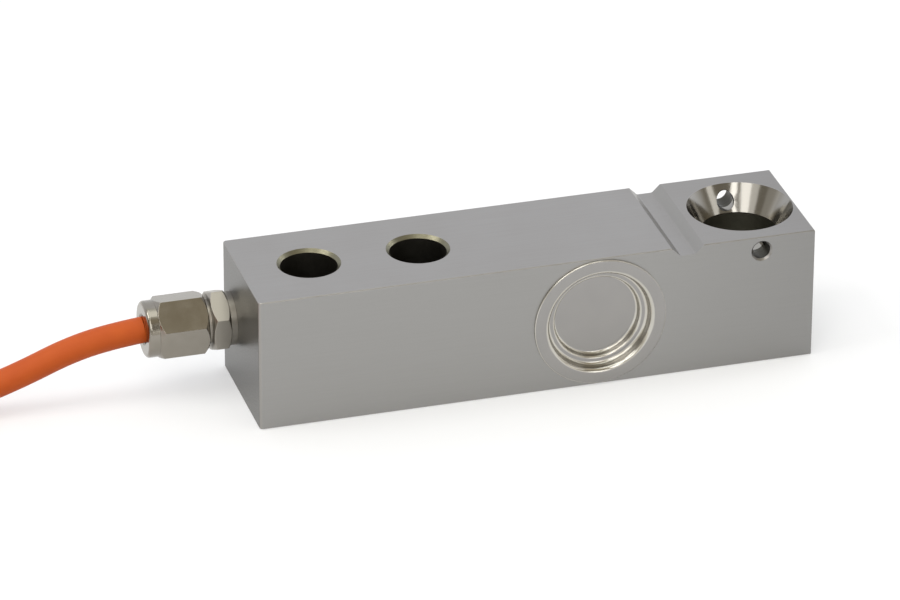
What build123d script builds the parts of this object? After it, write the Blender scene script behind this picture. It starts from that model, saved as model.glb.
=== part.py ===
from build123d import *
from math import cos, pi, radians, sin, sqrt, tan
import os

# Shear beam load cell, in millimetres.
# Origin: centre of the two fixing holes, on the base. +X: towards the load hole. +Z: up.
# The cable leaves the -X end face, and the strain gauges sit on the web behind the side cups.

# Beam
beam_width = 31.8
beam_height = 31.8
edge_radius = 0.3
end_edge_radius = 0.8

# Fixing holes
fixing_spacing = 25.4
fixing_to_end = 15.8
fixing_bore = 13.0
fixing_chamfer = 0.75

# Load hole, with a cone for the load button and a cross hole for its pin
fixing_to_load = 76.2
load_to_end = 12.6
load_bore = 17.5
load_cone = 24.3
load_cone_angle = 60.0
load_exit_chamfer = 0.6
pin_bore = 4.2
pin_below_top = 3.5
pin_chamfer = 0.4

# Groove across the top, which parts the load end from the measuring section
groove_to_load = 17.6
groove_floor = 3.6
groove_depth = 2.0
groove_wall_angle = 45.0
groove_fillet = 0.8

# Side pockets and the web between them
fixing_to_pocket = 38.1
web_thickness = 4.0
pocket_clearance = 0.3
pocket_chamfer = 0.45

# Pressed sealing cups
cup_sheet = 0.5
cup_flange = 31.0
cup_flange_edge = 0.2
cup_wall_radius = 11.9
cup_mouth_bend = 1.1
cup_shelf_depth = 2.0
cup_shelf_bend = 0.8
cup_shelf_width = 1.9
cup_step_bend = 0.6
cup_depth = 3.7
cup_floor_bend = 0.6

# Cable port and wire channel
gland_offset = 8.5
port_radius = 5.1
port_depth = 8.0
port_recess_radius = 5.95
port_recess_depth = 0.95
channel_offset = 9.5
channel_radius = 1.75
channel_run_in = 1.7

# Gland body: collar, hexagon and two threads, given as distances out of the end face
thread_radius = 5.0
port_thread_length = 6.5
port_thread_chamfer = 0.6
gland_bore_radius = 3.2
collar_radius = 6.1
collar_length = 1.5
body_flats = 13.0
body_hex_length = 4.1
body_hex_turn = 35.0
body_chamfer_angle = 35.0
nut_thread_length = 7.4
seal_seat_radius = 4.15
seal_seat_depth = 3.2

# Gland nut
nut_gap = 0.9
nut_flats = 13.0
nut_hex_length = 11.5
nut_hex_turn = 44.6
nut_chamfer_angle = 45.0
nut_collar_length = 2.6
nut_collar_radius = 6.5
nut_collar_edge = 0.8
nut_thread_clearance = 0.1
nut_bore_radius = 3.3
nut_mouth_radius = 0.4
hex_rim_inset = 0.1

# Seal, clamp washer and O-ring
seal_proud = 1.0
seal_clearance = 0.1
seal_nose = 0.75
washer_thickness = 1.0
washer_clearance = 0.1
o_ring_section = 0.9

# Cable and its four cores
cable_radius = 3.0
cable_grip = 0.05
cable_end_inside = 4.0
core_radius = 0.6
core_pitch = 1.3
core_bend = 2.0
core_turn_in = 0.9
potting_clearance = 0.05

# Gauges, board and terminals
film_length = 11.0
film_height = 9.0
film_thickness = 0.2
grid_thickness = 0.1
grid_lines = 6
grid_pitch = 0.5
grid_line_width = 0.25
grid_line_length = 3.0
grid_tab = 0.9
grid_offset = 3.0
grid_angle = 45.0
board_radius = 12.0
board_thickness = 1.0
board_window_gap = 0.8
resistor_size = (1.6, 3.2, 0.6)
resistor_places = [(8.8, 3.0), (8.8, -3.0), (0.0, 8.3)]
strip_length = 9.0
strip_height = 2.6
strip_thickness = 0.8
strip_drop = 7.3
pad_size = 1.4
pad_thickness = 0.1
pad_spacing = 2.1
lead_radius = 0.12
lead_rise = 0.7
lead_bend = 0.3
link_radius = 0.2
link_spacing = 0.55
link_hole_radius = 1.0
link_drop = 10.4
link_stub = 0.5

# Free cable: each point is (distance out of the gland, sideways, height of its centre)
floor_gap = 0.05
cable_route = [
    (8.0, 0.0, 15.2),
    (17.5, 0.0, 13.0),
    (27.5, 0.0, 8.9),
    (37.5, 0.0, 5.6),
    (46.0, 0.0, 4.1),
    (52.0, 0.0, 3.8),
]
cable_run_end = 58.0
corner_share = 0.45

# Hank of the rest of the cable: long turns a cable's diameter apart, in line with the beam
hank_gap = 2.9
hank_straight = 100.0
hank_outer_edge = 27.0
hank_columns = 2
hank_layers = 5
hank_corner = 2.9
hank_inset = 0.05
lead_in_slope = 25.6
lead_in_bend = 45.0

# Bands that tie the hank's two long sides
tie_width = 4.0
tie_thickness = 0.6
tie_clearance = 0.1

# Stripped end of the cable, from the hank's centre: (along, aside, height of its centre)
jacket_end_route = [(-41.0, 21.0, 9.5), (-10.0, 9.0, 3.8), (16.0, 9.0, 3.8)]
jacket_end_bend = 35.0
sleeve_clearance = 0.05
sleeve_wall = 0.35
sleeve_grip = 6.0
sleeve_overhang = 2.0
tail_pitch = 1.6
drain_radius = 0.4
tip_radius = 0.4
tip_length = 6.0

# The cores fan out and settle: (distance past the jacket's end, share of the way there)
tail_route = [(0.0, 0.0), (3.5, 0.0), (11.0, 0.25), (20.0, 0.75), (27.0, 1.0), (31.0, 1.0)]
tail_fan = [1.6, 4.6]

# Places worked out from the sizes above
cup_step_radius = cup_wall_radius - cup_shelf_width
pocket_wall_radius = cup_wall_radius + cup_sheet + pocket_clearance
inner_fixing_x = fixing_spacing / 2
cable_face_x = -fixing_spacing / 2 - fixing_to_end
load_x = inner_fixing_x + fixing_to_load
load_face_x = load_x + load_to_end
beam_length = load_face_x - cable_face_x
pocket_x = inner_fixing_x + fixing_to_pocket
middle_z = beam_height / 2
half_width = beam_width / 2
half_web = web_thickness / 2

body_hex_end = collar_length + body_hex_length
body_end = body_hex_end + nut_thread_length
nut_start = body_hex_end + nut_gap
nut_hex_end = nut_start + nut_hex_length
nut_end = nut_hex_end + nut_collar_length
seal_end = body_end + seal_proud
washer_end = seal_end + washer_thickness
gland_exit_x = cable_face_x - nut_end

cable_diameter = 2 * cable_radius
hank_bottom = floor_gap + tie_thickness + tie_clearance
hank_height = hank_layers * cable_diameter
hank_width = hank_columns * cable_diameter
hank_inner_edge = hank_outer_edge - hank_width
hank_middle = hank_outer_edge - hank_width / 2
hank_x = gland_exit_x - cable_run_end - hank_gap - hank_outer_edge - hank_straight / 2
cable_rest = hank_bottom + hank_inset + cable_radius

core_places = {
    "red": (1, 1),
    "black": (-1, 1),
    "green": (1, -1),
    "white": (-1, -1),
}


def cylinder_along_x(start, end, radius, y, z):
    length = abs(end - start)
    return Pos((start + end) / 2, y, z) * Rot(0, 90, 0) * Cylinder(radius, length)


def cylinder_along_y(start, end, radius, x, z):
    length = abs(end - start)
    return Pos(x, (start + end) / 2, z) * Rot(90, 0, 0) * Cylinder(radius, length)


def cone_along_z(x, bottom, top, bottom_radius, top_radius):
    return Pos(x, 0, (bottom + top) / 2) * Cone(bottom_radius, top_radius, top - bottom)


# Turns an outline of (distance, radius) points about the gland's axis, at the end face
def turned(outline):
    points = [(-distance, radius) for distance, radius in outline]
    return revolve(make_face(Polyline(*points, close=True)), Axis.X)


def on_gland_axis(shape):
    return Pos(cable_face_x, gland_offset, middle_z) * shape


def tube_along(path, radius):
    return sweep(Plane(path @ 0, z_dir=path % 0) * Circle(radius), path=path)


def beam_block():
    centre_x = (cable_face_x + load_face_x) / 2
    block = Pos(centre_x, 0, middle_z) * Box(beam_length, beam_width, beam_height)
    upright = block.edges().filter_by(Axis.Z).group_by(Axis.X)[0]
    block = fillet(upright, end_edge_radius)
    caps = block.edges().filter_by(lambda edge: abs(edge.center().Z - middle_z) > middle_z - 0.01)
    return fillet(caps, edge_radius)


def fixing_hole(x):
    rim = fixing_bore / 2 + fixing_chamfer
    bore = Pos(x, 0, middle_z) * Cylinder(fixing_bore / 2, beam_height)
    return bore + cone_along_z(x, beam_height - fixing_chamfer, beam_height, fixing_bore / 2, rim)


def load_hole():
    depth = (load_cone - load_bore) / 2 / tan(radians(load_cone_angle / 2))
    exit_rim = load_bore / 2 + load_exit_chamfer
    bore = Pos(load_x, 0, middle_z) * Cylinder(load_bore / 2, beam_height)
    cone = cone_along_z(load_x, beam_height - depth, beam_height, load_bore / 2, load_cone / 2)
    exit_cone = cone_along_z(load_x, 0, load_exit_chamfer, exit_rim, load_bore / 2)
    return bore + cone + exit_cone


def pin_hole():
    z = beam_height - pin_below_top
    rim = pin_bore / 2 + pin_chamfer
    hole = cylinder_along_y(-half_width, half_width, pin_bore / 2, load_x, z)
    mouth = Rot(90, 0, 0) * Cone(rim, pin_bore / 2, pin_chamfer)
    front = Pos(load_x, -half_width + pin_chamfer / 2, z) * Rot(180, 0, 0) * mouth
    back = Pos(load_x, half_width - pin_chamfer / 2, z) * mouth
    return hole + front + back


def groove():
    half_floor = groove_floor / 2
    slope = groove_depth / tan(radians(groove_wall_angle))
    half_top = half_floor + slope
    x = load_x - groove_to_load
    outline = Polyline(
        (x - half_top, beam_height),
        (x - half_floor, beam_height - groove_depth),
        (x + half_floor, beam_height - groove_depth),
        (x + half_top, beam_height),
        close=True,
    )
    cut = extrude(Plane.XZ * make_face(outline), beam_width / 2, both=True)
    floor_edges = cut.edges().filter_by(Axis.Y).group_by(Axis.Z)[0]
    return fillet(floor_edges, groove_fillet)


def pocket(side):
    mouth = side * half_width
    hole = cylinder_along_y(side * half_web, mouth, pocket_wall_radius, pocket_x, middle_z)
    rim = pocket_wall_radius + pocket_chamfer
    cone = Rot(-90 * side, 0, 0) * Cone(pocket_wall_radius, rim, pocket_chamfer)
    return hole + Pos(pocket_x, mouth - side * pocket_chamfer / 2, middle_z) * cone


def wire_passages():
    port_end = cable_face_x + port_depth
    recess_end = cable_face_x + port_recess_depth
    port = cylinder_along_x(cable_face_x, port_end, port_radius, gland_offset, middle_z)
    recess = cylinder_along_x(cable_face_x, recess_end, port_recess_radius, gland_offset, middle_z)
    channel_end = pocket_x - pocket_wall_radius + channel_run_in
    channel = cylinder_along_x(port_end, channel_end, channel_radius, channel_offset, middle_z)
    link = cylinder_along_y(-half_web, half_web, link_hole_radius, pocket_x, middle_z - link_drop)
    return port + recess + channel + link


def make_beam():
    beam = beam_block()
    for x in (-inner_fixing_x, inner_fixing_x):
        beam -= fixing_hole(x)
    beam -= load_hole()
    beam -= pin_hole()
    beam -= groove()
    for side in (-1, 1):
        beam -= pocket(side)
    return beam - wire_passages()


# One face of the pressed sheet, as (radius, depth); inset 0 is the face in view
def cup_face(inset):
    return [
        (cup_wall_radius + inset, inset - cup_sheet),
        (cup_wall_radius + inset, cup_shelf_depth + inset),
        (cup_step_radius + inset, cup_shelf_depth + inset),
        (cup_step_radius + inset, cup_depth + inset),
        (0, cup_depth + inset),
    ]


def cup_bends(inset):
    return [
        cup_mouth_bend - inset,
        cup_shelf_bend + inset,
        cup_step_bend - inset,
        cup_floor_bend + inset,
    ]


def make_cup(side):
    rim = cup_flange / 2
    seen_points = [(rim, 0), (rim, -cup_sheet), *cup_face(0)]
    seen = FilletPolyline(*seen_points, radius=[cup_flange_edge, *cup_bends(0)])
    hidden = FilletPolyline((rim, 0), *cup_face(cup_sheet), radius=cup_bends(cup_sheet))
    axis = Line(seen @ 1, hidden @ 1)
    cup = revolve(make_face([seen, axis, hidden]), Axis.Y)
    if side > 0:
        cup = Rot(180, 0, 0) * cup
    return Pos(pocket_x, side * half_width, middle_z) * cup


def hexagon(flats, turn, start, end, chamfer_angle):
    corner = flats / sqrt(3)
    rim = flats / 2 - hex_rim_inset
    depth = (corner - rim) * tan(radians(chamfer_angle))
    sketch = Plane.YZ * RegularPolygon(flats / 2, 6, major_radius=False, rotation=turn)
    prism = Pos(-end, 0, 0) * extrude(sketch, end - start)
    outline = [(start, 0), (start, rim), (start + depth, corner), (end - depth, corner), (end, rim), (end, 0)]
    return prism & turned(outline)


def make_gland_body():
    collar = turned([(0, 0), (0, collar_radius), (collar_length, collar_radius), (collar_length, 0)])
    head = hexagon(body_flats, body_hex_turn, collar_length, body_hex_end, body_chamfer_angle)
    inner_end = -port_thread_length
    tip = thread_radius - port_thread_chamfer
    stem = turned([
        (inner_end, 0),
        (inner_end, tip),
        (inner_end + port_thread_chamfer, thread_radius),
        (body_end - port_thread_chamfer, thread_radius),
        (body_end, tip),
        (body_end, 0),
    ])
    seat_start = body_end - seal_seat_depth
    cone_start = seat_start - (seal_seat_radius - gland_bore_radius)
    bore = turned([
        (inner_end, 0),
        (inner_end, gland_bore_radius),
        (cone_start, gland_bore_radius),
        (seat_start, seal_seat_radius),
        (body_end, seal_seat_radius),
        (body_end, 0),
    ])
    return on_gland_axis(collar + head + stem - bore)


def make_gland_nut():
    head = hexagon(nut_flats, nut_hex_turn, nut_start, nut_hex_end, nut_chamfer_angle)
    collar = turned([
        (nut_hex_end, 0),
        (nut_hex_end, nut_collar_radius),
        (nut_end, nut_collar_radius),
        (nut_end, 0),
    ])
    edge = collar.edges().filter_by(GeomType.CIRCLE).sort_by(Axis.X)[0]
    collar = fillet(edge, nut_collar_edge)
    thread = thread_radius + nut_thread_clearance
    hole = turned([
        (nut_start, 0),
        (nut_start, thread),
        (washer_end, thread),
        (washer_end, nut_bore_radius),
        (nut_end - nut_mouth_radius, nut_bore_radius),
        (nut_end, nut_bore_radius + nut_mouth_radius),
        (nut_end, 0),
    ])
    return on_gland_axis(head + collar - hole)


def make_cable_seal():
    outer = seal_seat_radius - seal_clearance
    inner = cable_radius + cable_grip
    seat_start = body_end - seal_seat_depth
    return on_gland_axis(turned([
        (seat_start - seal_nose, outer - seal_nose),
        (seat_start, outer),
        (seal_end, outer),
        (seal_end, inner),
        (seat_start - seal_nose, inner),
    ]))


def make_clamp_washer():
    outer = thread_radius - washer_clearance
    return on_gland_axis(turned([
        (seal_end, nut_bore_radius),
        (seal_end, outer),
        (washer_end, outer),
        (washer_end, nut_bore_radius),
    ]))


def make_o_ring():
    room = port_recess_radius - thread_radius
    ring_radius = thread_radius + room / 2
    ring = Torus(ring_radius, o_ring_section / 2)
    return on_gland_axis(Pos(port_recess_depth / 2, 0, 0) * Rot(0, 90, 0) * ring)


def make_inner_cable():
    start = cable_face_x + cable_end_inside
    return cylinder_along_x(start, gland_exit_x, cable_radius, gland_offset, middle_z)


# A core runs along the channel, then bends down onto the board behind the rear cup
def make_core(place):
    up, out = place
    y = channel_offset + out * core_pitch / 2
    z = middle_z + up * core_pitch / 2
    bend = core_bend + (out + 1) / 2 * core_pitch
    turn_x = pocket_x - pocket_wall_radius + core_turn_in + bend
    path = FilletPolyline(
        (cable_face_x + cable_end_inside, y, z),
        (turn_x, y, z),
        (turn_x, half_web + board_thickness, z),
        radius=bend,
    )
    return tube_along(path, core_radius)


def make_port_potting():
    wide = port_radius - potting_clearance
    narrow = gland_bore_radius - potting_clearance
    start = -cable_end_inside - potting_clearance
    step = -port_thread_length - potting_clearance
    end = -port_depth + potting_clearance
    outline = [(start, 0), (start, narrow), (step, narrow), (step, wide), (end, wide), (end, 0)]
    plug = on_gland_axis(turned(outline))
    for up, out in core_places.values():
        y = channel_offset + out * core_pitch / 2
        z = middle_z + up * core_pitch / 2
        plug -= cylinder_along_x(cable_face_x, cable_face_x + port_depth, core_radius, y, z)
    return plug


def make_film(side):
    y = side * (half_web + film_thickness / 2)
    return Pos(pocket_x, y, middle_z) * Box(film_length, film_thickness, film_height)


# Flat outline of one gauge grid: a folded line with a solder tab at each end
def grid_outline():
    outline = Sketch()
    first = -(grid_lines - 1) * grid_pitch / 2
    for line in range(grid_lines):
        outline += Pos(first + line * grid_pitch, 0) * Rectangle(grid_line_width, grid_line_length)
    for fold in range(grid_lines - 1):
        end = 1 if fold % 2 == 0 else -1
        place = Pos(first + (fold + 0.5) * grid_pitch, end * (grid_line_length - grid_line_width) / 2)
        outline += place * Rectangle(grid_pitch + grid_line_width, grid_line_width)
    for side in (-1, 1):
        outline += Pos(side * tab_place()[0], tab_place()[1]) * Rectangle(grid_tab, grid_tab)
    return outline


def tab_place():
    return (grid_lines - 1) * grid_pitch / 2, -(grid_line_length + grid_tab) / 2


# Centres of the four solder tabs on one film, as (x, z) from the pocket's axis
def tab_centres():
    across, down = tab_place()
    turn = radians(grid_angle)
    centres = []
    for hand in (-1, 1):
        for end in (-1, 1):
            x = end * across * cos(turn) - down * sin(turn)
            z = end * across * sin(turn) + down * cos(turn)
            centres.append((hand * (grid_offset - x), z))
    return sorted(centres)


def make_grids(side):
    base = side * (half_web + film_thickness)
    left = Pos(-grid_offset, 0) * Rot(0, 0, grid_angle) * grid_outline()
    flat = left + mirror(left, Plane.YZ)
    facing = Plane((pocket_x, base, middle_z), x_dir=(1, 0, 0), z_dir=(0, -1, 0))
    return extrude(facing * flat, -side * grid_thickness)


def make_board():
    window_x = film_length + board_window_gap
    window_z = film_height + board_window_gap
    y = half_web + board_thickness / 2
    disc = Rot(90, 0, 0) * Cylinder(board_radius, board_thickness)
    window = Box(window_x, board_thickness, window_z)
    link = Pos(0, 0, -link_drop) * Rot(90, 0, 0) * Cylinder(link_hole_radius, board_thickness)
    return Pos(pocket_x, y, middle_z) * (disc - window - link)


def make_resistors():
    width, height, thickness = resistor_size
    y = half_web + board_thickness + thickness / 2
    return [Pos(pocket_x + x, y, middle_z + z) * Box(width, thickness, height) for x, z in resistor_places]


def make_terminal_strip():
    y = -half_web - strip_thickness / 2
    z = middle_z - strip_drop
    strip = Pos(pocket_x, y, z) * Box(strip_length, strip_thickness, strip_height)
    pad_y = -half_web - strip_thickness - pad_thickness / 2
    for index in range(4):
        x = pocket_x + (index - 1.5) * pad_spacing
        strip += Pos(x, pad_y, z) * Box(pad_size, pad_thickness, pad_size)
    return strip


# Fine wires from the grids' tabs down to the pads, arched over the film's edge
def make_gauge_leads(side):
    tab_y = side * (half_web + film_thickness + grid_thickness)
    landing = strip_thickness + pad_thickness if side < 0 else board_thickness
    pad_y = side * (half_web + landing)
    top_y = pad_y + side * lead_rise
    pad_z = middle_z - strip_drop
    leads = []
    for index, (x, z) in enumerate(tab_centres()):
        pad_x = pocket_x + (index - 1.5) * pad_spacing
        path = FilletPolyline(
            (pocket_x + x, tab_y, middle_z + z),
            (pocket_x + x, top_y, middle_z + z),
            (pad_x, top_y, pad_z),
            (pad_x, pad_y, pad_z),
            radius=lead_bend,
        )
        leads.append(tube_along(path, lead_radius))
    return leads


# Wires from the front terminal strip through the web to the rear board
def make_link_wires():
    start_y = -half_web - strip_thickness - pad_thickness - link_radius
    strip_edge = middle_z - strip_drop - pad_size / 4
    wires = []
    for index in (-1, 0, 1):
        x = pocket_x + index * link_spacing
        path = FilletPolyline(
            (x, start_y, strip_edge),
            (x, start_y, middle_z - link_drop),
            (x, half_web + board_thickness + link_stub, middle_z - link_drop),
            radius=lead_bend * 2,
        )
        wires.append(tube_along(path, link_radius))
    return wires


# Corner radii that fill their runs: a share of the shorter run over half the turn
def corner_radii(points):
    radii = []
    for before, corner, after in zip(points, points[1:], points[2:]):
        run_in = Vector(*corner) - Vector(*before)
        run_out = Vector(*after) - Vector(*corner)
        half_turn = radians(run_in.get_angle(run_out)) / 2
        radii.append(corner_share * min(run_in.length, run_out.length) / tan(half_turn))
    return radii


def rounded_path(points):
    radii = corner_radii(points)
    return FilletPolyline(*points, radius=radii), radii


def cable_points():
    start = (gland_exit_x, gland_offset, middle_z)
    middle = [(gland_exit_x - out, gland_offset + aside, height) for out, aside, height in cable_route]
    end = (gland_exit_x - cable_run_end, gland_offset, cable_rest)
    return [start, *middle, end]


def make_cable_run():
    points = cable_points()
    path, radii = rounded_path(points)
    tube = tube_along(path, cable_radius)
    section = pi * cable_radius**2
    print("cable run radii", [round(radius, 1) for radius in radii])
    print("cable run volume", round(tube.volume, 1), "section x length", round(section * path.length, 1))
    print("cable run length", round(path.length, 1))
    nose = Vector(*points[0])
    heading = (Vector(*points[1]) - nose).normalized()
    overlap = Plane(nose, z_dir=heading) * Pos(0, 0, -cable_radius / 2) * Cylinder(cable_radius, cable_radius)
    outside = Pos(gland_exit_x - cable_run_end, gland_offset, middle_z)
    room = outside * Box(2 * cable_run_end, beam_width, 2 * beam_height)
    return (tube + overlap) & room


def from_hank(along, aside, height):
    return hank_x + along, gland_offset + aside, height


def bent_tube(points, bend):
    return tube_along(FilletPolyline(*points, radius=bend), cable_radius)


# The turns as one ring, with the cable's way in below them and its far end inside them
def make_hank():
    outer = SlotCenterToCenter(hank_straight, 2 * hank_outer_edge)
    inner = SlotCenterToCenter(hank_straight, 2 * hank_inner_edge)
    turns = extrude(outer - inner, hank_height)
    rims = turns.edges().group_by(Axis.Z)
    turns = fillet(rims[0] + rims[-1], hank_corner)
    opening_end = hank_straight / 2 + hank_inner_edge
    crossing = hank_middle / tan(radians(lead_in_slope))
    lead_in = [
        (gland_exit_x - cable_run_end, gland_offset, cable_rest),
        from_hank(opening_end, 0, cable_rest),
        from_hank(opening_end - crossing, -hank_middle, cable_rest),
    ]
    far_end = [from_hank(*place) for place in jacket_end_route]
    hank = Pos(hank_x, gland_offset, hank_bottom) * turns
    return hank + bent_tube(lead_in, lead_in_bend) + bent_tube(far_end, jacket_end_bend)


def make_hank_ties():
    width = hank_width + 2 * tie_clearance
    height = hank_height + 2 * tie_clearance
    corner = hank_corner + tie_clearance
    band = RectangleRounded(width + 2 * tie_thickness, height + 2 * tie_thickness, corner + tie_thickness)
    band -= RectangleRounded(width, height, corner)
    tie = extrude(Plane.YZ * band, tie_width / 2, both=True)
    middle = hank_bottom + hank_height / 2
    return [Pos(*from_hank(0, side * hank_middle, middle)) * tie for side in (-1, 1)]


def make_sleeve():
    along, aside, height = jacket_end_route[-1]
    length = sleeve_grip + sleeve_overhang
    bore = cable_radius + sleeve_clearance
    wall = Cylinder(bore + sleeve_wall, length) - Cylinder(bore, length)
    centre = along - sleeve_grip + length / 2
    return Pos(*from_hank(centre, aside, height)) * Rot(0, 90, 0) * wall


# A stripped core leaves the jacket beside the others and settles at its own place in the fan
def make_tail(side, up, fan, radius):
    along, aside, height = jacket_end_route[-1]
    drop = height - radius - floor_gap
    points = []
    for distance, done in tail_route:
        spread = side + (fan - side) * done
        level = height + up - (drop + up) * done
        points.append(from_hank(along + distance, aside + spread, level))
    path, radii = rounded_path(points)
    print("core tail radii", [round(bend, 1) for bend in radii])
    return tube_along(path, radius), path


def make_tip(path):
    tip = Cylinder(tip_radius, tip_length)
    return Plane(path @ 1, z_dir=path % 1) * Pos(0, 0, tip_length / 2) * tip


def make_tails():
    tails = {}
    tips = []
    half_pitch = tail_pitch / 2
    for name, (up, side) in core_places.items():
        fan = side * tail_fan[0] if up > 0 else side * tail_fan[1]
        tail, path = make_tail(side * half_pitch, up * half_pitch, fan, core_radius)
        tails[name + "_core_end"] = tail
        tips.append(make_tip(path))
    tails["shield_drain_wire"] = make_tail(0, 0, 0, drain_radius)[0]
    tails["tinned_core_tips"] = tips
    return tails


def all_nodes():
    nodes = {
        "beam": make_beam(),
        "front_sealing_cup": make_cup(-1),
        "rear_sealing_cup": make_cup(1),
        "front_gauge_film": make_film(-1),
        "rear_gauge_film": make_film(1),
        "front_gauge_grids": make_grids(-1),
        "rear_gauge_grids": make_grids(1),
        "front_terminal_strip": make_terminal_strip(),
        "bridge_board": make_board(),
        "bridge_resistors": make_resistors(),
        "front_gauge_leads": make_gauge_leads(-1),
        "rear_gauge_leads": make_gauge_leads(1),
        "bridge_link_wires": make_link_wires(),
        "gland_body": make_gland_body(),
        "gland_o_ring": make_o_ring(),
        "gland_nut": make_gland_nut(),
        "cable_seal": make_cable_seal(),
        "clamp_washer": make_clamp_washer(),
        "cable_in_gland": make_inner_cable(),
        "port_potting": make_port_potting(),
        "cable_run": make_cable_run(),
        "cable_hank": make_hank(),
        "hank_ties": make_hank_ties(),
        "end_sleeve": make_sleeve(),
    }
    for name, place in core_places.items():
        nodes[name + "_core"] = make_core(place)
    nodes.update(make_tails())
    return nodes


os.makedirs("parts", exist_ok=True)
for name, shape in all_nodes().items():
    solids = shape if isinstance(shape, list) else shape.solids()
    node = solids[0] if len(solids) == 1 else Compound(children=list(solids))
    export_step(node, "parts/" + name + ".step")
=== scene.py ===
from math import cos, pi, radians, sin

import bpy
from mathutils import Matrix, Vector


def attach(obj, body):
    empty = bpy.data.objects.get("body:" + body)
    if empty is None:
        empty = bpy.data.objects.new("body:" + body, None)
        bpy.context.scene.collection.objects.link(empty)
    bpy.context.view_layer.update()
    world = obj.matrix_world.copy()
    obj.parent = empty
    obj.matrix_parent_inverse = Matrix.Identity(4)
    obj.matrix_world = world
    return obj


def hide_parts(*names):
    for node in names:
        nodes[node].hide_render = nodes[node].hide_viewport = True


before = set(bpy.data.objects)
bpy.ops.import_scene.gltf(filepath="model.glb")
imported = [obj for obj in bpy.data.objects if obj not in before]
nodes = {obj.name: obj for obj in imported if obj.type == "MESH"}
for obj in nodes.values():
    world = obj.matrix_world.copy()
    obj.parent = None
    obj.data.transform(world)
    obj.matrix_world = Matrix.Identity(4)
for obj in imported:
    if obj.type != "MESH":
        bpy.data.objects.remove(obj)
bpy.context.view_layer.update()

mm = 0.001
print("frame loaded, nodes:", len(nodes))


# Shared helpers

# An sRGB hex code as the linear colour that a socket takes
def linearColour(code):
    channels = [int(code[place:place + 2], 16) / 255 for place in (1, 3, 5)]
    curved = [
        part / 12.92 if part <= 0.04045 else ((part + 0.055) / 1.055) ** 2.4 for part in channels
    ]
    return (*curved, 1.0)


# Adds a node: a socket takes a constant, or a link from the output that it is given
def addNode(tree, kind, sockets=None, **settings):
    node = tree.nodes.new(kind)
    for name, value in settings.items():
        setattr(node, name, value)
    for socket, value in (sockets or {}).items():
        if isinstance(value, bpy.types.NodeSocket):
            tree.links.new(value, node.inputs[socket])
        else:
            node.inputs[socket].default_value = value
    return node


def newMaterial(name, surface):
    material = bpy.data.materials.new(name)
    material.use_nodes = True
    tree = material.node_tree
    shader = tree.nodes["Principled BSDF"]
    for socket, value in surface.items():
        shader.inputs[socket].default_value = value
    return material, tree, shader


def finishNode(name, material):
    piece = nodes[name]
    piece.data.materials.clear()
    piece.data.materials.append(material)


def finishAll(names, material):
    for name in names:
        finishNode(name, material)


# The sockets of a Mix node, by place: for colours and for plain values
amount, sideA, sideB, mixed = 0, 6, 7, 2
valueA, valueB, valueMixed = 2, 3, 0
noiseSpread = (0.3, 0.7)  # most of a noise pattern lies between these
mirrorLike = 1.0  # Metallic of a bare metal


# The place on the object in mm, so that every pattern and limit is given in mm
def placeInMm(tree):
    spot = addNode(tree, "ShaderNodeTexCoord").outputs["Object"]
    place = addNode(tree, "ShaderNodeVectorMath", {0: spot, "Scale": 1 / mm}, operation="SCALE")
    return place.outputs["Vector"]


# Camera at the photograph's viewing angle

cameraSettings = {
    "eye": (-0.33995, -1.21217, 0.68406),  # metres
    "azimuth": 16.5497,  # from +Y towards +X, degrees
    "elevation": 27.7884,  # looking down
    "roll": 0.2756,
    "lens": 253.195,  # mm on the sensor below
    "sensor": 36.0,
    "clip": (0.05, 50.0),  # metres
}


def makeCamera():
    azimuth = radians(cameraSettings["azimuth"])
    elevation = radians(cameraSettings["elevation"])
    roll = radians(cameraSettings["roll"])
    level = Vector((cos(azimuth), -sin(azimuth), 0))
    back = -Vector((sin(azimuth) * cos(elevation), cos(azimuth) * cos(elevation), -sin(elevation)))
    right = level * cos(roll) + back.cross(level) * sin(roll)
    up = back.cross(right)
    data = bpy.data.cameras.new("studioCamera")
    data.lens = cameraSettings["lens"]
    data.sensor_width = cameraSettings["sensor"]
    data.clip_start, data.clip_end = cameraSettings["clip"]
    camera = bpy.data.objects.new("studioCamera", data)
    bpy.context.scene.collection.objects.link(camera)
    turn = Matrix((right, up, back)).transposed().to_4x4()
    camera.matrix_world = Matrix.Translation(Vector(cameraSettings["eye"])) @ turn
    bpy.context.scene.camera = camera


makeCamera()
print("camera placed")


# Cable: leaves the gland, droops to the ground and is put away as a tied hank

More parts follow.
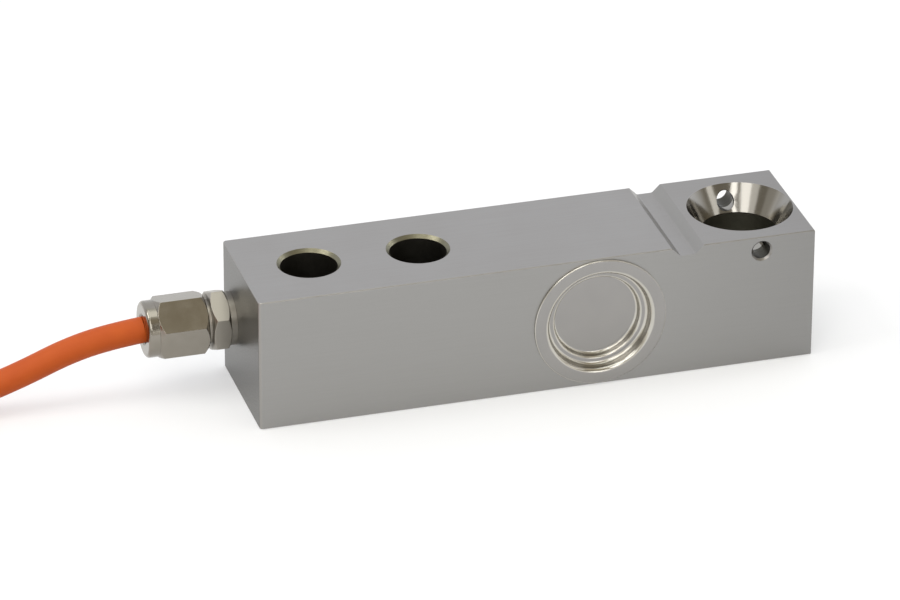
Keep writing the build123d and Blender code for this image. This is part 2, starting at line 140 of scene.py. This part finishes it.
cableSettings = {
    "diameter": 6.0,
    "length": 3000.0,  # the usual length of such a cable
    "exit": (-49.1, 8.5, 15.9),
    "route": [  # (distance out of the gland, height of the centre)
        (8.0, 15.2),
        (17.5, 13.0),
        (27.5, 8.9),
        (37.5, 5.6),
        (46.0, 4.1),
        (52.0, 3.8),
        (58.0, 3.8),
    ],
    "hankX": -187.0,
    "halfSide": 50.0,
    "outerRadius": 24.0,
    "innerRadius": 18.0,
    "firstHeight": 3.75,
    "layers": 5,
    "turnSteps": 8,
    "roundness": 8,  # steps round the cable, and between two points of its route
    "sidePlaces": (-44.0, -32.0, -20.0, -7.0, 7.0, 20.0, 32.0, 44.0),
    # Where along a side the cable changes its place, so that no two turns change it together
    "descend": (-46.0, -18.0),
    "shift": (-14.0, 14.0),
    "climb": (18.0, 46.0),
    # From the hank's centre: (along, aside, height)
    "leadIn": [
        (72.5, 0.0, 3.8),
        (65.2, -1.1, 3.8),
        (58.1, -3.3, 3.8),
        (51.4, -6.5, 3.8),
        (28.5, -17.5, 3.78),
        (21.8, -20.7, 3.76),
        (14.7, -22.9, 3.75),
        (7.4, -24.0, 3.75),
        (0.0, -24.0, 3.75),
        (-44.0, -24.0, 3.75),
    ],
    "farEnd": [
        (-44.0, 17.7, 9.3),
        (-35.0, 16.3, 7.9),
        (-26.0, 13.9, 6.2),
        (-17.0, 11.2, 4.8),
        (-8.0, 9.4, 4.0),
        (0.0, 9.0, 3.8),
        (8.0, 9.0, 3.8),
        (16.0, 9.0, 3.8),
    ],
}


def levelHeight(level):
    return cableSettings["firstHeight"] + level * cableSettings["diameter"]


# A half-turn at one end of the hank: its points stand outside the turn by half a step's secant
def endTurn(end, radius, level):
    step = 180 / cableSettings["turnSteps"]
    reach = radius / cos(radians(step / 2))
    points = []
    for index in range(cableSettings["turnSteps"]):
        around = radians(end * 90 - (index + 0.5) * step)
        along = end * cableSettings["halfSide"] + reach * cos(around)
        points.append((along, reach * sin(around), levelHeight(level)))
    return points


def nearSide(radius, level):
    ends = (cableSettings["sidePlaces"][-1], cableSettings["sidePlaces"][0])
    return [(along, -radius, levelHeight(level)) for along in ends]


# A far side, where the cable moves from one (radius, level) to the next
def farSide(change, before, after):
    start, end = cableSettings[change]
    points = []
    for along in cableSettings["sidePlaces"]:
        share = min(max((along - start) / (end - start), 0), 1)
        share = share * share * (3 - 2 * share)  # starts and ends gently
        radius, level = [low + (high - low) * share for low, high in zip(before, after)]
        points.append((along, radius, levelHeight(level)))
    return points


# The outer turns climb, the last of them shifts inwards, and the inner turns descend
def hankTurns():
    outer = cableSettings["outerRadius"]
    inner = cableSettings["innerRadius"]
    top = cableSettings["layers"] - 1
    points = []
    for level in range(top):
        points += endTurn(-1, outer, level)
        points += farSide("climb", (outer, level), (outer, level + 1))
        points += endTurn(1, outer, level + 1)
        points += nearSide(outer, level + 1)
    points += endTurn(-1, outer, top)
    points += farSide("shift", (outer, top), (inner, top))
    for level in range(top, 0, -1):
        points += endTurn(1, inner, level)
        points += nearSide(inner, level)
        points += endTurn(-1, inner, level)
        if level > 1:
            points += farSide("descend", (inner, level), (inner, level - 1))
    return points


def cableRoute():
    exitX, exitY, exitZ = cableSettings["exit"]
    points = [Vector((exitX, exitY, exitZ))]
    points += [Vector((exitX - out, exitY, height)) for out, height in cableSettings["route"]]
    centre = Vector((cableSettings["hankX"], exitY, 0))
    wound = [*cableSettings["leadIn"], *hankTurns(), *cableSettings["farEnd"]]
    points += [centre + Vector(point) for point in wound]
    return [point * mm for point in points]


def makeCable(jacket):
    data = bpy.data.curves.new("cable", "CURVE")
    data.dimensions = "3D"
    data.bevel_depth = cableSettings["diameter"] / 2 * mm
    data.bevel_resolution = cableSettings["roundness"]
    data.resolution_u = cableSettings["roundness"]
    data.use_fill_caps = True
    points = cableRoute()
    spline = data.splines.new("NURBS")
    spline.points.add(len(points) - 1)
    for target, point in zip(spline.points, points):
        target.co = (*point, 1.0)
    spline.order_u = 3  # each stretch is a plain arc between its neighbours
    spline.use_endpoint_u = True
    data.materials.append(jacket)
    cable = bpy.data.objects.new("cable", data)
    bpy.context.scene.collection.objects.link(cable)
    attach(cable, "root")
    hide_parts("cable_run", "cable_hank")
    ends = ["end_sleeve", "red_core_end", "black_core_end", "green_core_end", "white_core_end"]
    ends += ["shield_drain_wire", "tinned_core_tips", "hank_ties"]


# Extruded polyurethane: matt orange, with a faint orange-peel skin from the die

jacketFinish = {
    "deep": "#B64A0A",
    "light": "#C35711",
    "cloud": 5.0,  # mm, as all the sizes of patterns below
    "skin": 0.35,  # from one dimple of the orange peel to the next
    "skinDetail": 3.0,
    "skinDepth": 0.012,
    "surface": {"IOR": 1.5, "Roughness": 0.55, "Specular IOR Level": 0.32},
}


def polyurethaneJacket():
    material, tree, shader = newMaterial("extrudedPolyurethane", jacketFinish["surface"])
    place = placeInMm(tree)
    clouds = addNode(
        tree, "ShaderNodeTexNoise", {"Vector": place, "Scale": 1 / jacketFinish["cloud"]},
    )
    skin = addNode(
        tree, "ShaderNodeTexNoise",
        {"Vector": place, "Scale": 1 / jacketFinish["skin"], "Detail": jacketFinish["skinDetail"]},
    )
    colour = addNode(
        tree, "ShaderNodeMix", {
            amount: clouds.outputs["Fac"],
            sideA: linearColour(jacketFinish["deep"]),
            sideB: linearColour(jacketFinish["light"]),
        }, data_type="RGBA",
    )
    relief = addNode(
        tree, "ShaderNodeBump",
        {"Height": skin.outputs["Fac"], "Distance": jacketFinish["skinDepth"] * mm},
    )
    tree.links.new(colour.outputs[mixed], shader.inputs["Base Color"])
    tree.links.new(relief.outputs["Normal"], shader.inputs["Normal"])
    return material


jacketMaterial = polyurethaneJacket()
makeCable(jacketMaterial)
finishNode("cable_in_gland", jacketMaterial)
print("cable laid")


# Beam: ground alloy steel. Grinding leaves a satin face with fine lines along the beam

beamFinish = {
    "steel": "#9A9793",
    "steelPale": "#A09E9B",
    "roughness": (0.31, 0.40),
    "turnedRoughness": 0.15,
    "cloud": 14.0,
    "lineWidth": 0.35,  # coarser than the grit's own lines, so that they show
    "lineStretch": 40.0,
    "lineDepth": 0.0015,
    "lineDetail": 3.0,
    "film": 0.14,  # painted shade that darkens the load end, where the light falls off
    "filmReach": (62.0, 101.0),  # mm, where it starts and where it is full
    "filmTone": "#000000",
    # The round holes: a point on the axis, and which directions lie square to it
    "axes": {
        "load": ((88.9, 0, 0), (1, 1, 0)),
        "fixingNear": ((-12.7, 0, 0), (1, 1, 0)),
        "fixingFar": ((12.7, 0, 0), (1, 1, 0)),
        "pin": ((88.9, 0, 28.3), (1, 0, 1)),
    },
    # Each zone's tone and where it lies: limits, in mm, of a coordinate, of the distance from a
    # hole's axis or of how squarely a face is turned. The later ones lie over the earlier ones
    # All the tones but the countersink's are painted shade, set to how each face is lit
    "zones": {
        # Painted shade: the sides a little darker than the top, as they are lit
        "shadedSides": ("#9A9997", {"sideways": (0.95, 1.05)}),
        "ends": ("#6D6C69", {"endways": (0.95, 1.05)}),  # painted shade: the ends darker still, for the shaded floor that they mirror
        # painted shade: the groove's sloping walls get their own tone, set to how they are lit
        "paintedGrooveWalls": ("#9B9995", {"endways": (0.3, 0.9), "X": (66.0, 80.0), "Z": (28.0, 31.9)}),
        "countersink": ("#A6A39C", {"load": (0, 12.2), "Z": (25.85, 32.0)}),  # turned
        "loadBore": ("#9B998E", {"load": (0, 12.2), "Z": (-1.0, 25.85)}),  # painted shade: the load bore's own tone, set to the shade inside it
        # Painted shade: the fixing holes' chamfers are darker than the steel, their bores darker
        # still and the pin hole darkest, for the shade in the holes
        "nearChamfer": ("#7C7967", {"fixingNear": (0, 7.25), "Z": (31.05, 32.0)}),
        "farChamfer": ("#7C7967", {"fixingFar": (0, 7.25), "Z": (31.05, 32.0)}),
        "nearBore": ("#726F68", {"fixingNear": (0, 7.25), "Z": (-1.0, 31.05)}),
        "farBore": ("#726F68", {"fixingFar": (0, 7.25), "Z": (-1.0, 31.05)}),
        "pinHole": ("#47453D", {"pin": (0, 2.2), "depth": (11.0, 15.4)}),
    },
}


# What the zones are laid out by, each as the output that holds it
def beamMeasures(tree, place):
    facing = addNode(tree, "ShaderNodeTexCoord").outputs["Normal"]
    axes = addNode(tree, "ShaderNodeSeparateXYZ", {"Vector": place}).outputs
    turned = addNode(tree, "ShaderNodeSeparateXYZ", {"Vector": facing}).outputs
    measures = {"X": axes["X"], "Z": axes["Z"]}
    for name, source in (("depth", axes["Y"]), ("sideways", turned["Y"]), ("endways", turned["X"])):
        unsigned = addNode(tree, "ShaderNodeMath", {0: source}, operation="ABSOLUTE")
        measures[name] = unsigned.outputs["Value"]
    for name, (centre, across) in beamFinish["axes"].items():
        flat = addNode(tree, "ShaderNodeVectorMath", {0: place, 1: across}, operation="MULTIPLY")
        away = addNode(
            tree, "ShaderNodeVectorMath", {0: flat.outputs["Vector"], 1: centre},
            operation="DISTANCE",
        )
        measures[name] = away.outputs["Value"]
    return measures


# Share 1 where each measure lies between its two limits, else 0
def withinLimits(tree, measures, limits):
    within = 1.0
    for name, (low, high) in limits.items():
        inside = addNode(
            tree, "ShaderNodeMath", {0: measures[name], 1: (low + high) / 2, 2: (high - low) / 2},
            operation="COMPARE",
        )
        within = addNode(
            tree, "ShaderNodeMath", {0: inside.outputs["Value"], 1: within}, operation="MULTIPLY",
        ).outputs["Value"]
    return within


def groundSteel():
    material, tree, shader = newMaterial("groundSteel", {"Metallic": mirrorLike})
    place = placeInMm(tree)
    measures = beamMeasures(tree, place)
    clouds = addNode(
        tree, "ShaderNodeTexNoise", {"Vector": place, "Scale": 1 / beamFinish["cloud"]},
    )
    colour = addNode(
        tree, "ShaderNodeMix", {
            amount: clouds.outputs["Fac"],
            sideA: linearColour(beamFinish["steel"]),
            sideB: linearColour(beamFinish["steelPale"]),
        }, data_type="RGBA",
    )
    for tone, limits in beamFinish["zones"].values():
        colour = addNode(
            tree, "ShaderNodeMix", {
                amount: withinLimits(tree, measures, limits),
                sideA: colour.outputs[mixed],
                sideB: linearColour(tone),
            }, data_type="RGBA",
        )
    # Painted shade: the colour darkens towards the load end, where the light falls off
    film = addNode(
        tree, "ShaderNodeMapRange", {
            "Value": measures["X"],
            "From Min": beamFinish["filmReach"][0],
            "From Max": beamFinish["filmReach"][1],
            "To Max": beamFinish["film"],
        },
    )
    colour = addNode(
        tree, "ShaderNodeMix", {
            amount: film.outputs["Result"],
            sideA: colour.outputs[mixed],
            sideB: linearColour(beamFinish["filmTone"]),
        }, data_type="RGBA",
    )
    along = addNode(
        tree, "ShaderNodeVectorMath", {0: place, 1: (1 / beamFinish["lineStretch"], 1, 1)},
        operation="MULTIPLY",
    )
    lines = addNode(
        tree, "ShaderNodeTexNoise", {
            "Vector": along.outputs["Vector"],
            "Scale": 1 / beamFinish["lineWidth"],
            "Detail": beamFinish["lineDetail"],
        },
    )
    satin = addNode(
        tree, "ShaderNodeMapRange", {
            "Value": lines.outputs["Fac"],
            "From Min": noiseSpread[0],
            "From Max": noiseSpread[1],
            "To Min": beamFinish["roughness"][0],
            "To Max": beamFinish["roughness"][1],
        },
    )
    satin = addNode(
        tree, "ShaderNodeMix", {
            amount: withinLimits(tree, measures, beamFinish["zones"]["countersink"][1]),
            valueA: satin.outputs["Result"],
            valueB: beamFinish["turnedRoughness"],
        }, data_type="FLOAT",
    )
    relief = addNode(
        tree, "ShaderNodeBump",
        {"Height": lines.outputs["Fac"], "Distance": beamFinish["lineDepth"] * mm},
    )
    tree.links.new(colour.outputs[mixed], shader.inputs["Base Color"])
    tree.links.new(satin.outputs[valueMixed], shader.inputs["Roughness"])
    tree.links.new(relief.outputs["Normal"], shader.inputs["Normal"])
    return material


finishNode("beam", groundSteel())
print("beam finished")


# Sealing cups: pressed stainless sheet, smooth from the tool

cupFinish = {
    "sheet": "#969492",
    "sheetPale": "#9F9D9A",
    "paintedBendHighlight": "#C4C1B9",  # painted highlight: the bends are coloured lighter, for the bright arcs that they mirror
    "burnishedRoughness": 0.16,
    "softness": 0.7,  # the sheet has no hard line where a bend begins
    "softnessSamples": 8,
    "bend": (0.995, 0.96),  # how squarely a flat part and a bend face sideways
    "roughness": (0.17, 0.24),
    "cloud": 6.0,
    "grain": 0.5,  # coarser than the sheet's own, so that it shows
    "grainDetail": 3.0,
    "grainDepth": 0.0012,
}


def pressedStainless():
    material, tree, shader = newMaterial("pressedStainless", {"Metallic": mirrorLike})
    place = placeInMm(tree)
    facing = addNode(tree, "ShaderNodeTexCoord").outputs["Normal"]
    clouds = addNode(
        tree, "ShaderNodeTexNoise", {"Vector": place, "Scale": 1 / cupFinish["cloud"]},
    )
    grain = addNode(
        tree, "ShaderNodeTexNoise",
        {"Vector": place, "Scale": 1 / cupFinish["grain"], "Detail": cupFinish["grainDetail"]},
    )
    turned = addNode(tree, "ShaderNodeSeparateXYZ", {"Vector": facing})
    sideways = addNode(tree, "ShaderNodeMath", {0: turned.outputs["Y"]}, operation="ABSOLUTE")
    bend = addNode(
        tree, "ShaderNodeMapRange", {
            "Value": sideways.outputs["Value"],
            "From Min": cupFinish["bend"][0],
            "From Max": cupFinish["bend"][1],
        },
    )
    colour = addNode(
        tree, "ShaderNodeMix", {
            amount: clouds.outputs["Fac"],
            sideA: linearColour(cupFinish["sheet"]),
            sideB: linearColour(cupFinish["sheetPale"]),
        }, data_type="RGBA",
    )
    # Painted highlight: the bends are coloured lighter than the flat sheet
    colour = addNode(
        tree, "ShaderNodeMix", {
            amount: bend.outputs["Result"],
            sideA: colour.outputs[mixed],
            sideB: linearColour(cupFinish["paintedBendHighlight"]),
        }, data_type="RGBA",
    )
    satin = addNode(
        tree, "ShaderNodeMapRange", {
            "Value": clouds.outputs["Fac"],
            "From Min": noiseSpread[0],
            "From Max": noiseSpread[1],
            "To Min": cupFinish["roughness"][0],
            "To Max": cupFinish["roughness"][1],
        },
    )
    satin = addNode(
        tree, "ShaderNodeMix", {
            amount: bend.outputs["Result"],
            valueA: satin.outputs["Result"],
            valueB: cupFinish["burnishedRoughness"],
        }, data_type="FLOAT",
    )
    rounded = addNode(
        tree, "ShaderNodeBevel", {"Radius": cupFinish["softness"] * mm},
        samples=cupFinish["softnessSamples"],
    )
    relief = addNode(
        tree, "ShaderNodeBump", {
            "Height": grain.outputs["Fac"],
            "Normal": rounded.outputs["Normal"],
            "Distance": cupFinish["grainDepth"] * mm,
        },
    )
    tree.links.new(colour.outputs[mixed], shader.inputs["Base Color"])
    tree.links.new(satin.outputs[valueMixed], shader.inputs["Roughness"])
    tree.links.new(relief.outputs["Normal"], shader.inputs["Normal"])
    return material


finishAll(["front_sealing_cup", "rear_sealing_cup"], pressedStainless())
print("cups finished")


# Gland: turned brass, nickel plated. A warm, bright plate that mirrors what is round it

glandFinish = {
    "plate": "#979289",
    "plateDark": "#8A857B",
    "roughness": (0.12, 0.2),
    "bodyPaintedLighter": "#A29D94",  # painted light: the body's plate is paler than the nut's, to lighten facets that mirror shaded floor; the body is also duller
    "bodyRoughness": 0.34,
    "nutFace": (-35.0, -34.6),  # mm, where the nut ends and the body starts
    "cloud": 3.0,
    "toolMark": 0.3,  # coarser than the lathe's feed, so that it shows
    "toolMarkStretch": 8.0,  # the marks run round the gland
    "toolMarkDepth": 0.001,
    "edge": 0.16,  # the rounding that the plating leaves on the corners
    "edgeSamples": 6,
}


def nickelPlate():
    material, tree, shader = newMaterial("nickelPlate", {"Metallic": mirrorLike})
    place = placeInMm(tree)
    clouds = addNode(
        tree, "ShaderNodeTexNoise", {"Vector": place, "Scale": 1 / glandFinish["cloud"]},
    )
    squeeze = 1 / glandFinish["toolMarkStretch"]
    around = addNode(
        tree, "ShaderNodeVectorMath", {0: place, 1: (1, squeeze, squeeze)}, operation="MULTIPLY",
    )
    marks = addNode(
        tree, "ShaderNodeTexNoise",
        {"Vector": around.outputs["Vector"], "Scale": 1 / glandFinish["toolMark"]},
    )
    colour = addNode(
        tree, "ShaderNodeMix", {
            amount: clouds.outputs["Fac"],
            sideA: linearColour(glandFinish["plateDark"]),
            sideB: linearColour(glandFinish["plate"]),
        }, data_type="RGBA",
    )
    polish = addNode(
        tree, "ShaderNodeMapRange", {
            "Value": clouds.outputs["Fac"],
            "From Min": noiseSpread[0],
            "From Max": noiseSpread[1],
            "To Min": glandFinish["roughness"][0],
            "To Max": glandFinish["roughness"][1],
        },
    )
    along = addNode(tree, "ShaderNodeSeparateXYZ", {"Vector": place})
    onBody = addNode(
        tree, "ShaderNodeMapRange", {
            "Value": along.outputs["X"],
            "From Min": glandFinish["nutFace"][0],
            "From Max": glandFinish["nutFace"][1],
        },
    )
    # Painted light: the body's plate is made paler than the nut's
    colour = addNode(
        tree, "ShaderNodeMix", {
            amount: onBody.outputs["Result"],
            sideA: colour.outputs[mixed],
            sideB: linearColour(glandFinish["bodyPaintedLighter"]),
        }, data_type="RGBA",
    )
    polish = addNode(
        tree, "ShaderNodeMix", {
            amount: onBody.outputs["Result"],
            valueA: polish.outputs["Result"],
            valueB: glandFinish["bodyRoughness"],
        }, data_type="FLOAT",
    )
    rounded = addNode(
        tree, "ShaderNodeBevel", {"Radius": glandFinish["edge"] * mm},
        samples=glandFinish["edgeSamples"],
    )
    relief = addNode(
        tree, "ShaderNodeBump", {
            "Height": marks.outputs["Fac"],
            "Normal": rounded.outputs["Normal"],
            "Distance": glandFinish["toolMarkDepth"] * mm,
        },
    )
    tree.links.new(colour.outputs[mixed], shader.inputs["Base Color"])
    tree.links.new(polish.outputs[valueMixed], shader.inputs["Roughness"])
    tree.links.new(relief.outputs["Normal"], shader.inputs["Normal"])
    return material


finishAll(["gland_body", "gland_nut"], nickelPlate())
print("gland finished")


# Small parts. Each look is a fine grain, its width in mm, between two near tones, and the shine
# that is named beside it

smallParts = [
    {  # a warm metal, dulled by the lathe
        "material": "turnedBrass", "pieces": ["clamp_washer"], "slot": "washer_brass",
        "colours": ("#B59A5B", "#C4AB6C"), "grain": 0.4,
        "surface": {"Metallic": mirrorLike, "Roughness": 0.28},
    },
    {  # nearly black and dull
        "material": "mouldedNitrileRubber", "pieces": ["gland_o_ring", "cable_seal"],
        "slot": "seal_rubber",
        "colours": ("#141414", "#1E1D1C"), "grain": 0.3,
        "surface": {"IOR": 1.52, "Roughness": 0.55},
    },
    {  # a dark resin that set with a shiny top
        "material": "castPottingCompound", "pieces": ["port_potting"], "slot": "potting",
        "colours": ("#222325", "#2C2D2F"), "grain": 0.8,
        "surface": {"IOR": 1.5, "Roughness": 0.3},
    },
    {  # an amber film, smooth and glossy
        "material": "polyimideFilm", "pieces": ["front_gauge_film", "rear_gauge_film"],
        "slot": "gauge_film",
        "colours": ("#A8661A", "#BC7A26"), "grain": 2.0,
        "surface": {"IOR": 1.7, "Roughness": 0.18},
    },
    {  # a copper and nickel foil, made matt by etching
        "material": "etchedConstantan", "pieces": ["front_gauge_grids", "rear_gauge_grids"],
        "slot": "gauge_foil",
        "colours": ("#A08872", "#B39A84"), "grain": 0.2,
        "surface": {"Metallic": mirrorLike, "Roughness": 0.34},
    },
    {  # straw-coloured laminate with its weave just seen
        "material": "glassEpoxyStrip", "pieces": ["front_terminal_strip"], "slot": "terminal_strip",
        "colours": ("#98945C", "#A6A26B"), "grain": 0.25,
        "surface": {"IOR": 1.55, "Roughness": 0.42},
    },
    {  # green lacquer over the same laminate
        "material": "solderMaskedBoard", "pieces": ["bridge_board"], "slot": "circuit_board",
        "colours": ("#14492A", "#1B5834"), "grain": 0.9,
        "surface": {"IOR": 1.5, "Roughness": 0.25},
    },
    {  # black glass glaze
        "material": "glazedChip", "pieces": ["bridge_resistors"], "slot": "resistor_body",
        "colours": ("#17171A", "#202024"), "grain": 0.4,
        "surface": {"IOR": 1.5, "Roughness": 0.2},
    },
    {  # a cool, pale metal, slightly clouded by the dipping
        "material": "tinnedCopper", "slot": "lead_wire",
        "pieces": [
            "front_gauge_leads", "rear_gauge_leads", "bridge_link_wires",
            "shield_drain_wire", "tinned_core_tips",
        ],
        "colours": ("#B4B3AE", "#C6C5C0"), "grain": 0.15,
        "surface": {"Metallic": mirrorLike, "Roughness": 0.3},
    },
    {  # black weave that takes the shine off
        "material": "wovenNylonBand", "pieces": ["hank_ties"], "slot": "tie_nylon",
        "colours": ("#151517", "#202023"), "grain": 0.5,
        "surface": {"IOR": 1.53, "Roughness": 0.6},
    },
    {  # black and half matt after shrinking
        "material": "shrunkPolyolefin", "pieces": ["end_sleeve"], "slot": "shrink_sleeve",
        "colours": ("#111112", "#1A1A1B"), "grain": 0.6,
        "surface": {"IOR": 1.5, "Roughness": 0.42},
    },
]
# The cores' insulation: an even, half-glossy plastic in the colour that tells the cores apart
coreColours = {
    "red": ("#A81612", "#BC201A"),
    "black": ("#0E0E0F", "#181819"),
    "green": ("#0E6B30", "#157C3B"),
    "white": ("#D6D6D2", "#E2E2DE"),
}
for name, colours in coreColours.items():
    smallParts.append({
        "material": name + "PvcInsulation", "pieces": [name + "_core", name + "_core_end"],
        "slot": name + "_insulation", "colours": colours, "grain": 1.2,
        "surface": {"IOR": 1.53, "Roughness": 0.32},
    })
grainRelief = 0.01  # the grain's height as a share of its width


def smallPartMaterial(part):
    material, tree, shader = newMaterial(part["material"], part["surface"])
    place = placeInMm(tree)
    grain = addNode(tree, "ShaderNodeTexNoise", {"Vector": place, "Scale": 1 / part["grain"]})
    first, second = part["colours"]
    colour = addNode(
        tree, "ShaderNodeMix",
        {amount: grain.outputs["Fac"], sideA: linearColour(first), sideB: linearColour(second)},
        data_type="RGBA",
    )
    relief = addNode(
        tree, "ShaderNodeBump",
        {"Height": grain.outputs["Fac"], "Distance": part["grain"] * grainRelief * mm},
    )
    tree.links.new(colour.outputs[mixed], shader.inputs["Base Color"])
    tree.links.new(relief.outputs["Normal"], shader.inputs["Normal"])
    return material


for part in smallParts:
    finishAll(part["pieces"], smallPartMaterial(part))
print("small parts finished")


# Studio: a pale floor, soft lamps and a room that is darker on the camera's side

floorSettings = {
    "size": 6.0,
    "drop": 0.0001,
    "paper": "#C6C7C9",
    "white": 0.4,  # added for camera, glossy and transmission rays
}
roomSettings = {
    "level": 1.12,
    "towardsCamera": (-0.285, -0.958, 0.0),
    "low": "#E2DED6",
    # Laid over it in this order: colour, what it follows, where it starts and where it is full
    "tones": [
        ("#8C867A", "height", (0.15, 0.35)),  # the dark side of the room, behind the camera
        ("#BDB39F", "height", (0.6, 0.8)),
        ("#F2F4FA", "frontness", (0.05, -0.4)),  # the backdrop
        ("#F4F6EC", "height", (0.87, 0.95)),  # the ceiling
    ],
    "seen": "#FFFFFF",  # what the camera itself sees
    "seenLevel": 1.0,
}


def makeFloor():
    half = floorSettings["size"] / 2
    height = -floorSettings["drop"]
    data = bpy.data.meshes.new("studioFloor")
    corners = [(x * half, y * half, height) for x, y in ((-1, -1), (1, -1), (1, 1), (-1, 1))]
    data.from_pydata(corners, [], [(0, 1, 2, 3)])
    material = bpy.data.materials.new("studioPaper")
    material.use_nodes = True
    tree = material.node_tree
    tree.nodes.remove(tree.nodes["Principled BSDF"])
    paper = addNode(tree, "ShaderNodeBsdfDiffuse", {"Color": linearColour(floorSettings["paper"])})
    path = addNode(tree, "ShaderNodeLightPath").outputs
    seen = addNode(
        tree, "ShaderNodeMath", {0: path["Is Camera Ray"], 1: path["Is Glossy Ray"]},
        operation="MAXIMUM",
    )
    seen = addNode(
        tree, "ShaderNodeMath", {0: seen.outputs["Value"], 1: path["Is Transmission Ray"]},
        operation="MAXIMUM",
    )
    strength = addNode(
        tree, "ShaderNodeMath", {0: seen.outputs["Value"], 1: floorSettings["white"]},
        operation="MULTIPLY",
    )
    glow = addNode(tree, "ShaderNodeEmission", {"Strength": strength.outputs["Value"]})
    both = addNode(
        tree, "ShaderNodeAddShader", {0: paper.outputs["BSDF"], 1: glow.outputs["Emission"]},
    )
    tree.links.new(both.outputs["Shader"], tree.nodes["Material Output"].inputs["Surface"])
    data.materials.append(material)
    floor = bpy.data.objects.new("studioFloor", data)
    bpy.context.scene.collection.objects.link(floor)


def makeRoom():
    world = bpy.data.worlds.new("studioRoom")
    world.use_nodes = True
    tree = world.node_tree
    direction = addNode(tree, "ShaderNodeTexCoord").outputs["Generated"]
    frontness = addNode(
        tree, "ShaderNodeVectorMath", {0: direction, 1: roomSettings["towardsCamera"]},
        operation="DOT_PRODUCT",
    )
    axes = addNode(tree, "ShaderNodeSeparateXYZ", {"Vector": direction})
    followed = {"height": axes.outputs["Z"], "frontness": frontness.outputs["Value"]}
    colour = linearColour(roomSettings["low"])
    for tone, name, (start, full) in roomSettings["tones"]:
        reached = addNode(
            tree, "ShaderNodeMapRange",
            {"Value": followed[name], "From Min": start, "From Max": full},
        )
        colour = addNode(
            tree, "ShaderNodeMix",
            {amount: reached.outputs["Result"], sideA: colour, sideB: linearColour(tone)},
            data_type="RGBA",
        ).outputs[mixed]
    isCamera = addNode(tree, "ShaderNodeLightPath").outputs["Is Camera Ray"]
    colour = addNode(
        tree, "ShaderNodeMix",
        {amount: isCamera, sideA: colour, sideB: linearColour(roomSettings["seen"])},
        data_type="RGBA",
    )
    level = addNode(
        tree, "ShaderNodeMapRange", {
            "Value": isCamera,
            "To Min": roomSettings["level"],
            "To Max": roomSettings["seenLevel"],
        },
    )
    background = tree.nodes["Background"]
    tree.links.new(colour.outputs[mixed], background.inputs["Color"])
    tree.links.new(level.outputs["Result"], background.inputs["Strength"])
    bpy.context.scene.world = world


lampSettings = {
    "distance": 1.1,  # metres
    "target": (0.04, 0.0, 0.015),
    # Where each stands, in degrees to the right of the camera's side and above the floor, how wide
    # and high it is, and its level: the brightness that it has in a mirror, where 1 is white
    "lamps": {
        "overheadBox": {"azimuth": -50.0, "elevation": 84.0, "size": (0.7, 0.7), "level": 1.0},
        "leftBox": {"azimuth": -14.0, "elevation": 40.0, "size": (0.4, 0.8), "level": 2.3},
        "leftWing": {"azimuth": -36.0, "elevation": 30.0, "size": (0.34, 0.5), "level": 0.9},
        "leftFill": {"azimuth": -85.0, "elevation": 24.0, "size": (0.6, 0.4), "level": 0.25},
        "leftHigh": {"azimuth": -75.0, "elevation": 50.0, "size": (0.5, 0.4), "level": 4.2},
        "rightBox": {"azimuth": 13.5, "elevation": 32.0, "size": (0.22, 0.5), "level": 3.0},
        "rightLow": {"azimuth": 34.0, "elevation": 13.0, "size": (0.25, 0.25), "level": 3.0},
        "sideStrip": {"azimuth": 71.0, "elevation": 26.0, "size": (0.24, 0.5), "level": 1.2},
        "rightRear": {"azimuth": 121.0, "elevation": 24.0, "size": (0.3, 0.3), "level": 2.5},
    },
}


def makeLamps():
    for name, lamp in lampSettings["lamps"].items():
        azimuth = radians(cameraSettings["azimuth"] - lamp["azimuth"])
        elevation = radians(lamp["elevation"])
        away = Vector((
            -sin(azimuth) * cos(elevation),
            -cos(azimuth) * cos(elevation),
            sin(elevation),
        ))
        width, height = lamp["size"]
        data = bpy.data.lights.new(name, "AREA")
        data.shape = "RECTANGLE"
        data.size = width
        data.size_y = height
        data.energy = lamp["level"] * pi * width * height
        light = bpy.data.objects.new(name, data)
        bpy.context.scene.collection.objects.link(light)
        light.location = Vector(lampSettings["target"]) + away * lampSettings["distance"]
        light.rotation_mode = "QUATERNION"
        light.rotation_quaternion = away.to_track_quat("Z", "Y")


makeFloor()
makeRoom()
makeLamps()
bpy.context.scene.view_settings.view_transform = "Standard"
print("studio set")
